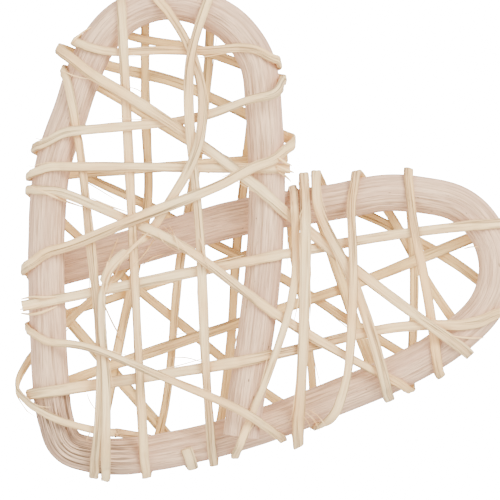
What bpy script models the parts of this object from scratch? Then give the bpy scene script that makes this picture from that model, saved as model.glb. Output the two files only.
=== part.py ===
"""A flat heart of one thick rattan cane, wound criss-cross with rattan strip.

Metres, +Z up. The heart lies flat on its wound underside, with its axis along Y,
its point towards -Y and its two lobes towards +Y. The cane is bent into two tall
arches that overlap: the upper arch lies on the lower one, and one sharp bend at
the point of the heart joins them. Each strip passes over the front, folds round
the outer edge of the cane and comes back behind, again and again.
"""

import math

import bmesh
import bpy
import numpy as np
from mathutils import Matrix, Vector

# Driving dimensions
FRAME_SPAN = 0.1285
CANE_DIAMETER = 0.0095
STRIP_THICKNESS = 0.0009
NARROW_STRIP = 0.0021
STRIP_WIDTH = 0.0024
BROAD_STRIP = 0.0028
CLEARANCE = 0.0003

# How finely the solids are faceted
CANE_SIDES = 12
CANE_STEP = 0.0065
ROUTE_STEP = 0.0019
FLATNESS = 0.00005

# The drawing: points are read off the photograph, 500 units across with y down.
# The frame reaches from the left leg's outer edge to the right lobe's outer edge.
DRAWING_FRAME = 487.0
DRAWING_CENTRE = (250.0, 250.0)
AXIS_TURN = math.radians(38.0)
UNIT = FRAME_SPAN / DRAWING_FRAME

# Where the cane runs in the drawing, from its front end to its hidden end
RIGHT_LEG = [(241, 436), (246, 400), (256, 330), (264.5, 249), (266.5, 170)]
UPPER_LOBE = [
    (262.5, 98), (256, 60), (244, 39.5), (231, 25.5), (212, 13.5), (190, 5), (167, 2.5),
    (145, 7), (124, 17.5), (104.5, 36), (90, 61), (79, 89), (70, 117), (60, 144),
]
LEFT_LEG = [(52.4, 173.4), (48, 215), (46.8, 270), (49.5, 345), (55, 408)]
POINT_BEND = {"centre": (86.5, 425), "radius": 26.5, "start": 190, "end": 262}
BOTTOM_LEG = [(125, 456), (159, 452), (207, 442), (278, 420.5), (338, 397), (400, 371)]
SIDE_LOBE = {"centre": (424, 268.5), "radius": 73, "start": -52, "end": 88}
UPPER_LEG = [(385, 193), (345, 200), (290, 208.5), (227, 221), (150, 243), (51, 270)]
LOBE_PEGS = 7
BEND_PEGS = 4

# Each strip: its width, the side it starts on, and one entry for each pass, with a
# name and the points it goes through. The last point of a pass is the place on the
# outer edge where the strip folds round to the other side.
STRIPS = {
    "strip_broad_winding": (BROAD_STRIP, "front", (23, 306), (
        ("across_middle", (64, 298), (143, 282), (296, 252), (400, 234), (512, 222)),
        ("behind_rising", (412, 262), (345, 288), (309, 300), (239, 323), (140, 356), (31, 394)),
        ("across_low", (143, 377), (297, 349), (425, 325), (488, 319), (504, 304)),
        ("behind_upper_right", (456, 263), (409, 236), (360, 212), (330, 198), (316.5, 175.5)),
        ("slant_cleft", (317, 203), (327, 230), (346, 267), (389, 399)),
        ("tuck_cleft", (371, 362), (352, 312), (337, 268), (319, 212)),
    )),
    "strip_cleft": (BROAD_STRIP, "back", (305, 214), (
        ("tuck_cleft_top", (304.5, 176)),
        ("upright_cleft", (305, 214), (302, 363), (297, 446)),
        ("tuck_cleft_low", (296.5, 424.5)),
    )),
    "strip_side_lobe": (STRIP_WIDTH, "back", (435, 352), (
        ("tuck_lobe", (438, 373)),
        ("upright_lobe", (425, 282), (414, 225), (408, 171)),
        ("behind_lobe", (415, 280), (409, 387)),
        ("slant_long", (339, 352), (240, 288), (190, 251), (128, 220), (83, 200.5), (52, 190.5), (28, 190)),
        ("behind_falling", (139, 291), (191, 333), (222, 359), (267, 394.5), (318, 429.5)),
        ("bowed_upright", (333, 415), (341, 397), (346, 379), (350, 346), (352, 235), (352, 195), (357, 172)),
        ("behind_side_lobe", (388, 210), (425, 276), (460, 328)),
    )),
    "strip_upper_arch": (STRIP_WIDTH, "back", (258, 72), (
        ("tuck_top_right", (278, 66)),
        ("across_top", (270, 56), (258, 51), (209, 51.5), (150, 51.5), (100, 51.5), (73, 42)),
        ("behind_top", (100, 31), (134, 37), (184, 46), (240, 64), (285.5, 80)),
        ("across_second", (279, 91), (258, 99), (226, 109.5), (206, 116), (120, 127.5), (88, 130.5), (62, 134.5), (34, 149)),
        ("behind_slant", (89, 178), (160, 212), (207, 240), (280, 277), (346, 319), (424, 366)),
    )),
    "strip_crossing": (BROAD_STRIP, "back", (452, 338), (
        ("tuck_crossing", (469, 353)),
        ("long_diagonal", (352, 267), (222, 160), (107, 84), (78, 65), (62, 50)),
        ("behind_second", (110, 66), (184, 85), (208, 96), (242, 112), (290.5, 141)),
        ("slant_rising", (281, 156), (258, 166), (228, 181.5), (200, 194), (112, 229), (60, 249), (37, 258), (23, 271)),
        ("behind_left_low", (192, 461)),
        ("tuck_left_low", (186, 446)),
    )),
    "strip_left_edge": (STRIP_WIDTH, "front", (290, 169), (
        ("across_third", (180, 168), (90, 167), (60, 167), (40, 169), (28, 177)),
        ("behind_level", (288, 157)),
    )),
    "strip_left_upright": (STRIP_WIDTH, "back", (262, 178), (
        ("behind_third", (187, 140), (123, 101), (63, 68)),
        ("left_upright", (72, 100), (82, 160), (90, 232), (101, 346), (99, 430), (94, 476)),
        ("behind_upright", (117, 352), (128, 300), (142, 235), (148, 192), (147, 150), (146, -13)),
        ("curved_upright", (187, 43), (203, 110), (190, 168), (168, 205), (147, 236), (128, 252),
            (111, 268), (102.5, 300), (104.5, 350), (107, 385), (107, 430), (106, 477)),
        ("tuck_upright", (108, 456)),
    )),
    "strip_uprights": (STRIP_WIDTH, "back", (124, 18), (
        ("tuck_top", (123, -3)),
        ("second_upright", (127, 110), (134, 250), (143, 430), (146, 476)),
        ("behind_slope", (160, 429), (177, 284), (205, 105), (210, 31), (212, -8)),
        ("third_upright", (191, 60), (189, 100), (198.5, 214), (205, 346), (213, 464)),
        ("behind_right_slope", (223, 405), (230, 350), (237, 243), (243, 190), (250, 130), (255, 90)),
    )),
    "strip_low_slope": (NARROW_STRIP, "back", (260, 250), (
        ("behind_low", (25, 326)),
        ("low_slope", (34, 335), (67, 343), (128, 361), (199, 391), (250, 415), (284, 441)),
        ("tuck_low", (277, 428)),
    )),
    "strip_loose_loop": (NARROW_STRIP, "back", (166, 234), (
        ("behind_loop", (92, 299), (45, 342), (28, 361), (21, 383)),
        ("loose_loop", (24.5, 397), (35, 407), (52, 416), (96, 429), (140, 437), (158, 441)),
    )),
    "strip_right_upright": (NARROW_STRIP, "back", (233, 436), (
        ("tuck_right", (235, 456)),
        ("right_upright", (279.5, 341), (294.5, 280), (295, 225), (292.5, 183.5)),
        ("behind_right", (291, 225), (297, 271), (311, 360), (314, 402)),
    )),
}

# From the lowest to the highest where they cross, seen from the front
FRONT_ORDER = (
    "across_middle", "upright_lobe", "across_low", "across_top", "loose_loop",
    "left_upright", "slant_long", "second_upright", "across_second", "across_third",
    "long_diagonal", "curved_upright", "third_upright", "slant_rising", "right_upright",
    "upright_cleft", "slant_cleft", "bowed_upright", "low_slope",
)
# From the nearest to the farthest, behind the cane
BACK_ORDER = (
    "tuck_cleft", "tuck_lobe", "tuck_top_right", "tuck_crossing", "tuck_left_low",
    "tuck_cleft_top", "tuck_cleft_low", "tuck_upright", "tuck_top", "tuck_low", "tuck_right",
    "behind_rising", "behind_lobe", "behind_top", "behind_loop", "behind_level",
    "behind_third", "behind_upright", "behind_slant", "behind_slope",
    "behind_right_slope", "behind_falling", "behind_side_lobe", "behind_second",
    "behind_left_low", "behind_upper_right", "behind_right", "behind_low",
)
# Crossings that go against that order: (over, under)
WOVEN = {("slant_long", "third_upright"), ("slant_long", "curved_upright")}
# It starts in front and ends behind the bottom leg
ENDS_BEHIND = {"loose_loop"}
GOES_BEHIND = 0.72
# The curved and the third upright are twisted round each other: below this height
# in the drawing the curved one lies over the other
TWIST = {"over": "curved_upright", "under": "third_upright", "below": 100}

CANE_COLOUR = (0.72, 0.60, 0.50)
STRIP_COLOUR = (0.86, 0.74, 0.56)
ROUGHNESS = 0.62

CANE_RADIUS = CANE_DIAMETER / 2
STRIP_RADIUS = CANE_RADIUS + CLEARANCE + STRIP_THICKNESS / 2
LEVEL = CANE_DIAMETER + CLEARANCE
SEPARATION = STRIP_THICKNESS * 1.04 + CLEARANCE

# How the strips are laid: tension is 1, and lengths are metres
NO_BOUND = -1.0
CONTACT = 4.0e5
SPRINGY = 0.0016
ROUNDS = 40

SETTLING_TURNS = 4


def plan(point):
    """A point of the drawing in the heart's own frame, in metres."""
    x = (point[0] - DRAWING_CENTRE[0]) * UNIT
    y = (DRAWING_CENTRE[1] - point[1]) * UNIT
    c, s = math.cos(AXIS_TURN), math.sin(AXIS_TURN)
    return (x * c - y * s, x * s + y * c)


def pegs(bend, count):
    """Points along a round bend of the drawing."""
    cx, cy = bend["centre"]
    angles = np.radians(np.linspace(bend["start"], bend["end"], count))
    return [(cx + bend["radius"] * math.cos(a), cy - bend["radius"] * math.sin(a)) for a in angles]


def smooth(points, step):
    """A natural cubic spline through the points, read at about every step."""
    points = np.array(points, float)
    gaps = np.linalg.norm(np.diff(points, axis=0), axis=1)
    t = np.concatenate([[0], np.cumsum(gaps)])
    count = len(points)
    system, right = np.eye(count), np.zeros((count, points.shape[1]))
    for i in range(1, count - 1):
        before, after = gaps[i - 1], gaps[i]
        system[i, i - 1 : i + 2] = before, 2 * (before + after), after
        right[i] = 6 * ((points[i + 1] - points[i]) / after - (points[i] - points[i - 1]) / before)
    bends = np.linalg.solve(system, right)
    at = np.linspace(0, t[-1], max(2, round(t[-1] / step) + 1))
    i = np.clip(np.searchsorted(t, at, side="right") - 1, 0, count - 2)
    a = ((t[i + 1] - at) / gaps[i])[:, None]
    b = 1 - a
    h = gaps[i][:, None] ** 2 / 6
    return a * points[i] + b * points[i + 1] + h * ((a**3 - a) * bends[i] + (b**3 - b) * bends[i + 1])


def smoothstep(x):
    x = np.clip(x, 0, 1)
    return x * x * (3 - 2 * x)


def cane_line():
    """The cane's centreline, every millimetre, in metres."""
    before = [*RIGHT_LEG, *UPPER_LOBE, *LEFT_LEG]
    bend = pegs(POINT_BEND, BEND_PEGS)
    after = [*BOTTOM_LEG, *pegs(SIDE_LOBE, LOBE_PEGS), *UPPER_LEG]
    line = smooth([plan(p) for p in before + bend + after], 0.001)
    start = np.argmin(np.linalg.norm(line - plan(bend[0]), axis=1))
    end = np.argmin(np.linalg.norm(line - plan(BOTTOM_LEG[2]), axis=1))
    fall = smoothstep((np.arange(len(line)) - start) / (end - start))
    return np.column_stack([line, LEVEL * (0.5 - fall)])


class Pass:
    """One run of a strip over the front or behind, between two folds."""

    def __init__(self, strip, name, side, width, points, folds, cane):
        self.strip, self.name, self.side, self.width = strip, name, side, width
        self.folds = folds
        ends = [np.array(plan(points[0])), np.array(plan(points[-1]))]
        self.anchor = [None, None]
        for k in (0, 1):
            if folds[k]:
                self.anchor[k] = fold_at(ends[k], cane)
                ends[k] = self.anchor[k]["point"][:2]
        route = [ends[0], *[np.array(plan(p)) for p in points[1:-1]], ends[1]]
        self.line = smooth(route, ROUTE_STEP / 3)
        steps = np.linalg.norm(np.diff(self.line, axis=0), axis=1)
        self.along = np.concatenate([[0], np.cumsum(steps)])
        self.length = self.along[-1]
        along = directions(self.line)
        self.across = np.column_stack([-along[:, 1], along[:, 0]])
        self.nodes = self.spread_nodes()
        self.place = self.at(self.nodes)

    def spread_nodes(self):
        nodes = list(np.linspace(0, self.length, max(3, round(self.length / ROUTE_STEP) + 1)))
        for k in (0, 1):
            if not self.folds[k]:
                continue
            anchor = self.anchor[k]
            own = []
            for angle in (20, 40, 60, 80):
                near = self.nearest_reach(k, anchor, anchor["reach"] * math.cos(math.radians(angle)))
                own.append(near)
            keep = max(own) if k == 0 else min(own)
            nodes = [s for s in nodes if (s > keep + 0.4 * ROUTE_STEP if k == 0 else s < keep - 0.4 * ROUTE_STEP)]
            nodes += own + [0.0 if k == 0 else self.length]
        return np.array(sorted(nodes))

    def nearest_reach(self, k, anchor, reach):
        """How far along the pass its distance out from the folded cane falls to reach."""
        out = (self.line - anchor["centre"][:2]) @ anchor["out"]
        order = range(len(out)) if k == 0 else range(len(out) - 1, -1, -1)
        for i in order:
            if out[i] <= reach:
                j = i - 1 if k == 0 else i + 1
                f = (out[j] - reach) / (out[j] - out[i])
                return self.along[j] + f * (self.along[i] - self.along[j])
        return self.length / 2

    def at(self, s):
        return np.column_stack([np.interp(s, self.along, self.line[:, i]) for i in (0, 1)])


def fold_at(point, cane):
    """The place on the cane's outer edge where a strip folds round, nearest to a point."""
    gaps = np.linalg.norm(cane[:, :2] - point, axis=1)
    i = int(np.argmin(gaps))
    centre = cane[i]
    out = (point - centre[:2]) / gaps[i]
    reach = gaps[i] if gaps[i] > STRIP_RADIUS + 0.001 else STRIP_RADIUS
    place = np.array([*(centre[:2] + out * reach), centre[2]])
    return {"point": place, "centre": centre, "out": out, "reach": reach}


def all_passes(cane):
    passes = []
    for strip, (width, first, start, legs) in STRIPS.items():
        side = 1 if first == "front" else -1
        for i, (name, *points) in enumerate(legs):
            folds = (i > 0, i < len(legs) - 1)
            passes.append(Pass(strip, name, side, width, [start, *points], folds, cane))
            start = points[-1]
            side = -side
    return passes


def cane_bound(p, side, cane):
    """How high a pass must stay over the cane, or how low behind it, across its whole width."""
    bound = np.full(len(p.line), NO_BOUND)
    for offset in (-p.width / 2, 0, p.width / 2):
        place = p.line + p.across * offset
        flat = ((place[:, None, :] - cane[None, :, :2]) ** 2).sum(axis=2)
        room = STRIP_RADIUS**2 - flat
        over = np.where(room > 0, cane[None, :, 2] * side + np.sqrt(np.maximum(room, 0)), NO_BOUND)
        bound = np.maximum(bound, over.max(axis=1))
    return bound


class Rules:
    """Springs between heights: each holds a weighted sum of up to four of them at a value."""

    def __init__(self):
        self.nodes, self.weights, self.wanted, self.stiffness, self.contact = [], [], [], [], []

    def add(self, nodes, weights, wanted, stiffness, contact=False):
        spare = 4 - len(nodes)
        self.nodes.append([*nodes, *[0] * spare])
        self.weights.append([*weights, *[0.0] * spare])
        self.wanted.append(wanted)
        self.stiffness.append(stiffness)
        self.contact.append(contact)


def lay_strips(cane, passes):
    """Pulls every strip tight over the cane and over the strips beneath it.

    Each pass is a row of heights. Tension draws it straight, a little stiffness
    rounds it, and wherever two pieces would touch a stiff spring holds them apart.
    """
    start = np.cumsum([0] + [len(p.nodes) for p in passes])
    rules = Rules()
    fixed = {}
    for p, first in zip(passes, start):
        tension_rules(p, first, rules)
        cane_rules(p, first, cane, rules)
        for k, i in ((0, 0), (1, len(p.nodes) - 1)):
            if p.folds[k]:
                fixed[first + i] = p.anchor[k]["point"][2]
    for i, p in enumerate(passes):
        for j, q in enumerate(passes[:i]):
            crossing_rules(p, q, start[i], start[j], rules)
    return settle_heights(rules, fixed, start[-1]), start


def tension_rules(p, first, rules):
    """A strip is taut, and springy: it leaves each crossing in a soft curve."""
    gaps = np.diff(p.nodes)
    for i, gap in enumerate(gaps):
        rules.add([first + i, first + i + 1], [1, -1], 0, 1 / gap)
    for i in range(1, len(gaps)):
        before, after = gaps[i - 1], gaps[i]
        if min(before, after) > 0.5 * ROUTE_STEP:
            bend = [1 / before, -1 / before - 1 / after, 1 / after]
            rules.add([first + i - 1, first + i, first + i + 1], bend, 0, SPRINGY**2 * 2 / (before + after))


def cane_rules(p, first, cane, rules):
    """A strip stays outside the cane all along, also on the round shoulder by its fold."""
    bound = np.maximum(cane_bound(p, p.side, cane), fold_bound(p))
    side = np.full(len(bound), float(p.side))
    if p.name in ENDS_BEHIND:
        far = p.along > GOES_BEHIND * p.length
        bound[far] = cane_bound(p, -1, cane)[far]
        side[far] = -1
    for i in np.flatnonzero(bound > NO_BOUND):
        nodes, weights = between(p, p.along[i], first, side[i])
        rules.add(nodes, weights, bound[i], CONTACT, True)


def fold_bound(p):
    """Near its fold a strip keeps to a round shoulder, also where it stands off the cane."""
    bound = np.full(len(p.line), NO_BOUND)
    for k in (0, 1):
        if not p.folds[k]:
            continue
        anchor = p.anchor[k]
        rel = p.line - anchor["centre"][:2]
        out = rel @ anchor["out"]
        near = np.linalg.norm(rel, axis=1) < 1.6 * anchor["reach"]
        shoulder = near & (out > -0.1 * STRIP_RADIUS) & (out < 0.96 * anchor["reach"])
        rise = STRIP_RADIUS * np.sqrt(np.maximum(0, 1 - (out / anchor["reach"]) ** 2))
        high = p.side * anchor["centre"][2] + rise
        bound[shoulder] = np.maximum(bound[shoulder], high[shoulder])
    return bound


def goes_over(p, q, at):
    """True where pass p lies above pass q at a place."""
    if p.side != q.side:
        return p.side > q.side
    names = (p.name, q.name)
    if set(names) == {TWIST["over"], TWIST["under"]}:
        down = np.array([math.sin(AXIS_TURN), -math.cos(AXIS_TURN)])
        low = (at - np.array(plan((195, TWIST["below"])))) @ down
        return (low > 0) == (p.name == TWIST["over"])
    if names in WOVEN:
        return True
    if names[::-1] in WOVEN:
        return False
    if p.side > 0:
        return FRONT_ORDER.index(p.name) > FRONT_ORDER.index(q.name)
    return BACK_ORDER.index(p.name) < BACK_ORDER.index(q.name)


def crossing_rules(p, q, first_p, first_q, rules):
    """Keeps two passes apart wherever the width of one lies over the other's."""
    reach = (p.width + q.width) / 2 + CLEARANCE
    if (p.line.min(axis=0) > q.line.max(axis=0) + reach).any():
        return
    if (q.line.min(axis=0) > p.line.max(axis=0) + reach).any():
        return
    near = np.linalg.norm(p.line[:, None, :] - q.line[None, :, :], axis=2).min(axis=1) < reach
    for offset in (-p.width / 2, 0, p.width / 2):
        spots = p.line[near] + p.across[near] * offset
        along_p = p.along[near]
        apart = np.linalg.norm(spots[:, None, :] - q.line[None, :, :], axis=2)
        nearest = apart.argmin(axis=1)
        for spot, s, j, d in zip(spots, along_p, nearest, apart.min(axis=1)):
            if d > q.width / 2 + CLEARANCE or (on_shoulder(p, spot) and on_shoulder(q, spot)):
                continue
            sign = 1.0 if goes_over(p, q, spot) else -1.0
            nodes, weights = between(p, s, first_p, sign)
            more_nodes, more_weights = between(q, q.along[j], first_q, -sign)
            rules.add(nodes + more_nodes, weights + more_weights, SEPARATION, CONTACT, True)


def on_shoulder(p, spot):
    """True close to a fold, where the strip stands nearly upright."""
    return any(
        p.folds[k] and np.linalg.norm(spot - p.anchor[k]["point"][:2]) < 0.45 * p.anchor[k]["reach"]
        for k in (0, 1)
    )


def between(p, s, first, sign):
    """The two nodes on either side of a place on a pass, with their shares."""
    i = int(np.clip(np.searchsorted(p.nodes, s) - 1, 0, len(p.nodes) - 2))
    share = (s - p.nodes[i]) / (p.nodes[i + 1] - p.nodes[i])
    return [first + i, first + i + 1], [sign * (1 - share), sign * share]


def settle_heights(rules, fixed, total):
    """The heights at which tension and contact balance, found by conjugate gradients."""
    nodes, weights = np.array(rules.nodes), np.array(rules.weights)
    wanted, stiffness = np.array(rules.wanted), np.array(rules.stiffness)
    contact = np.array(rules.contact)
    free = np.ones(total, bool)
    z = np.zeros(total)
    for i, value in fixed.items():
        free[i] = False
        z[i] = value

    def stretch(heights):
        return (weights * heights[nodes]).sum(axis=1)

    def spread(forces):
        return np.bincount(nodes.ravel(), (weights * forces[:, None]).ravel(), total) * free

    active = np.ones(len(wanted), bool)
    for _ in range(ROUNDS):
        strength = stiffness * active
        scale = np.bincount(nodes.ravel(), (weights**2 * strength[:, None]).ravel(), total) + 1
        rest = spread(strength * (wanted - stretch(z)))
        move = rest / scale
        size = rest @ move
        goal = 1e-12 * size
        for _ in range(900):
            push = spread(strength * stretch(move))
            step = size / (move @ push + 1e-30)
            z += step * move
            rest -= step * push
            eased = rest / scale
            size, last = rest @ eased, size
            if size < goal:
                break
            move = eased + size / last * move
        pressed = ~contact | (stretch(z) < wanted)
        changed = (pressed != active).sum()
        active = pressed
        if changed == 0:
            break
    return z


def strip_path(passes, heights, start, strip):
    """The strip's centreline with the direction that its flat side faces, from end to end."""
    points, faces = [], []
    for p, first in zip(passes, start):
        if p.strip != strip:
            continue
        z = heights[first : first + len(p.nodes)]
        line = np.column_stack([p.place, z])
        face = np.tile([0.0, 0.0, float(p.side)], (len(line), 1))
        for k in (0, 1):
            if not p.folds[k]:
                continue
            anchor = p.anchor[k]
            rel = line - anchor["centre"]
            out = rel[:, :2] @ anchor["out"]
            near = np.linalg.norm(rel[:, :2], axis=1) < 1.5 * anchor["reach"]
            shoulder = near & (out > 0)
            flat = out / anchor["reach"] ** 2
            up = rel[:, 2] / STRIP_RADIUS**2
            turned = np.column_stack([flat[:, None] * anchor["out"][None, :], up])
            turned /= np.maximum(np.linalg.norm(turned, axis=1), 1e-9)[:, None]
            face[shoulder] = turned[shoulder]
        if points:
            line, face = line[1:], face[1:]
        points.extend(line)
        faces.extend(face)
    return thinned(np.array(points), np.array(faces))


def thinned(points, faces):
    """Drops the points that a straight line through their neighbours passes within FLATNESS of."""
    keep = [0]
    i = 0
    while i < len(points) - 1:
        j = i + 1
        while j < len(points) - 1 and straight_enough(points, faces, i, j + 1):
            j += 1
        keep.append(j)
        i = j
    return points[keep], faces[keep]


def straight_enough(points, faces, i, j):
    chord = points[j] - points[i]
    length = np.linalg.norm(chord)
    if length > 0.03 or faces[i] @ faces[j] < 0.97:
        return False
    rel = points[i + 1 : j] - points[i]
    off = np.linalg.norm(rel - np.outer(rel @ chord, chord) / length**2, axis=1)
    return off.max() < FLATNESS


def directions(points):
    steps = np.diff(points, axis=0)
    steps /= np.linalg.norm(steps, axis=1)[:, None]
    along = np.vstack([steps[:1], steps[:-1] + steps[1:], steps[-1:]])
    return along / np.linalg.norm(along, axis=1)[:, None]


def swept(name, rings, material):
    """A closed solid from rings of points, with both ends capped."""
    mesh = bmesh.new()
    made = [[mesh.verts.new(p) for p in ring] for ring in rings]
    for a, b in zip(made, made[1:]):
        for i in range(len(a)):
            j = (i + 1) % len(a)
            mesh.faces.new((a[i], a[j], b[j], b[i]))
    mesh.faces.new(made[0][::-1])
    mesh.faces.new(made[-1])
    bmesh.ops.recalc_face_normals(mesh, faces=mesh.faces)
    data = bpy.data.meshes.new(name)
    mesh.to_mesh(data)
    mesh.free()
    data.materials.append(material)
    piece = bpy.data.objects.new(name, data)
    bpy.context.scene.collection.objects.link(piece)
    return piece


def strip_solid(name, width, points, faces, material):
    along = directions(points)
    across = np.cross(along, faces)
    across /= np.linalg.norm(across, axis=1)[:, None]
    normal = np.cross(across, along)
    w, t = across * width / 2, normal * STRIP_THICKNESS / 2
    rings = np.stack([points + w + t, points - w + t, points - w - t, points + w - t], axis=1)
    return swept(name, rings, material)


def cane_solid(cane, material):
    """The bent cane: rings of CANE_SIDES corners, closer together where it bends sharply."""
    along = directions(cane)
    turning = np.linalg.norm(np.gradient(along, axis=0), axis=1) / 0.001
    keep, gone = [0], 0.0
    for i in range(1, len(cane)):
        gone += 0.001
        if gone >= min(CANE_STEP, max(0.0012, 0.3 / max(turning[i], 1e-6))):
            keep.append(i)
            gone = 0.0
    keep[-1] = len(cane) - 1
    angles = np.linspace(0, 2 * math.pi, CANE_SIDES, endpoint=False)
    rings = []
    for i in keep:
        across = np.cross(along[i], (0, 0, 1))
        across /= np.linalg.norm(across)
        up = np.cross(across, along[i])
        rings.append([cane[i] + CANE_RADIUS * (math.cos(a) * across + math.sin(a) * up) for a in angles])
    return swept("cane_frame", rings, material)


def matte(name, colour):
    material = bpy.data.materials.new(name)
    material.use_nodes = True
    shader = material.node_tree.nodes["Principled BSDF"]
    shader.inputs["Base Color"].default_value = (*colour, 1)
    shader.inputs["Roughness"].default_value = ROUGHNESS
    return material


def clear_scene():
    for piece in list(bpy.data.objects):
        bpy.data.objects.remove(piece)


def mass_centre(pieces):
    """Where the whole balances, if cane and strips are equally dense."""
    volume, moment = 0.0, Vector()
    for piece in pieces:
        mesh = piece.data
        mesh.calc_loop_triangles()
        for face in mesh.loop_triangles:
            a, b, c = (mesh.vertices[i].co for i in face.vertices)
            part = a.dot(b.cross(c)) / 6
            volume += part
            moment += part * (a + b + c) / 4
    return moment / volume


def face_beneath(corners, centre):
    """The downward normal of the hull's face that a plumb line from the centre meets."""
    hull = bmesh.new()
    for corner in corners:
        hull.verts.new(corner)
    bmesh.ops.convex_hull(hull, input=hull.verts)
    hull.normal_update()
    for face in hull.faces:
        a, b, c = (v.co.xy - centre.xy for v in face.verts[:3])
        turns = [a.cross(b) > 0, b.cross(c) > 0, c.cross(a) > 0]
        if face.normal.z < -0.5 and turns[0] == turns[1] == turns[2]:
            normal = face.normal.copy()
            hull.free()
            return normal
    return Vector((0, 0, -1))


def lay_down(pieces):
    """Turns the heart until it rests on its underside, and centres it on its lowest point."""
    for _ in range(SETTLING_TURNS):
        corners = [v.co.copy() for piece in pieces for v in piece.data.vertices]
        turn = face_beneath(corners, mass_centre(pieces)).rotation_difference((0, 0, -1))
        for piece in pieces:
            piece.data.transform(turn.to_matrix().to_4x4())
    corners = np.array([v.co for piece in pieces for v in piece.data.vertices])
    low, high = corners.min(axis=0), corners.max(axis=0)
    shift = Matrix.Translation((-(low[0] + high[0]) / 2, -(low[1] + high[1]) / 2, -low[2]))
    for piece in pieces:
        piece.data.transform(shift)


def main():
    clear_scene()
    cane = cane_line()
    passes = all_passes(cane)
    heights, start = lay_strips(cane, passes)
    pieces = [cane_solid(cane, matte("peeled cane", CANE_COLOUR))]
    strip_finish = matte("rattan strip", STRIP_COLOUR)
    for strip, (width, *_) in STRIPS.items():
        points, faces = strip_path(passes, heights, start, strip)
        pieces.append(strip_solid(strip, width, points, faces, strip_finish))
    lay_down(pieces)


main()
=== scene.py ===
# %% [markdown]
# # A heart of bent rattan, wound with rattan strip
# The real thing is one thick peeled cane, steamed and bent into two tall arches that
# overlap, with a sharp bend at the point of the heart. Flat strips split from the same
# plant are wound over it criss-cross by hand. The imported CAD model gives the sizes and
# the collision. This script dresses it: every solid gets a finer piece in the same place.

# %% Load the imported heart
import math

import bpy
import numpy as np
from mathutils import Matrix, Vector
from mathutils.bvhtree import BVHTree


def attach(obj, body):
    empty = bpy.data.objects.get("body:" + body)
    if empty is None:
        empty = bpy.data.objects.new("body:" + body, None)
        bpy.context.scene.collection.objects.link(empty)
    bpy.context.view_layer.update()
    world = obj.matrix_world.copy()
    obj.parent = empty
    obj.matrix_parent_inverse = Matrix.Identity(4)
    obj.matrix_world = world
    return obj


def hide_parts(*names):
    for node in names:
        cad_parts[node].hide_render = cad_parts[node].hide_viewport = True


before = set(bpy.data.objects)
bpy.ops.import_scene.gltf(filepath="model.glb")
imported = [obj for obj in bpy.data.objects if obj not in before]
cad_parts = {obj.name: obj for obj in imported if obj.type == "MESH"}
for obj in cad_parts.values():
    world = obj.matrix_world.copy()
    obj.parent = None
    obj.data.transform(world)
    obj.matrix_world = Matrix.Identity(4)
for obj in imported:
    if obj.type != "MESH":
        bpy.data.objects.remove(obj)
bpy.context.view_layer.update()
bpy.ops.object.select_all(action="DESELECT")

# %% [markdown]
# ## Where everything runs
# A winding can't be placed by eye: each strip has to lie on the cane or on the strips
# beneath it. So the routes are drawn flat first, in the same drawing as the CAD model's,
# and the heights come from a small calculation that pulls every strip tight. The drawing
# is 500 units across with y down, and one unit is the frame's span over its drawn width.

# %% Sizes of the real thing, in metres
FRAME_SPAN = 0.1285
CANE_DIAMETER = 0.0095
STRIP_THICKNESS = 0.0009
NARROW_STRIP = 0.0021
STRIP_WIDTH = 0.0024
BROAD_STRIP = 0.0028
CLEARANCE = 0.0003
ROUTE_STEP = 0.0019

DRAWING_FRAME = 487.0
DRAWING_CENTRE = (250.0, 250.0)
AXIS_TURN = math.radians(38.0)
UNIT = FRAME_SPAN / DRAWING_FRAME

# %% The routes in the drawing
# Where the cane runs in the drawing, from its front end to its hidden end
RIGHT_LEG = [(241, 436), (246, 400), (256, 330), (264.5, 249), (266.5, 170)]
UPPER_LOBE = [
    (262.5, 98), (256, 60), (244, 39.5), (231, 25.5), (212, 13.5), (190, 5), (167, 2.5),
    (145, 7), (124, 17.5), (104.5, 36), (90, 61), (79, 89), (70, 117), (60, 144),
]
LEFT_LEG = [(52.4, 173.4), (48, 215), (46.8, 270), (49.5, 345), (55, 408)]
POINT_BEND = {"centre": (86.5, 425), "radius": 26.5, "start": 190, "end": 262}
BOTTOM_LEG = [(125, 456), (159, 452), (207, 442), (278, 420.5), (338, 397), (400, 371)]
SIDE_LOBE = {"centre": (424, 268.5), "radius": 73, "start": -52, "end": 88}
UPPER_LEG = [(385, 193), (345, 200), (290, 208.5), (227, 221), (150, 243), (51, 270)]
LOBE_PEGS = 7
BEND_PEGS = 4

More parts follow.
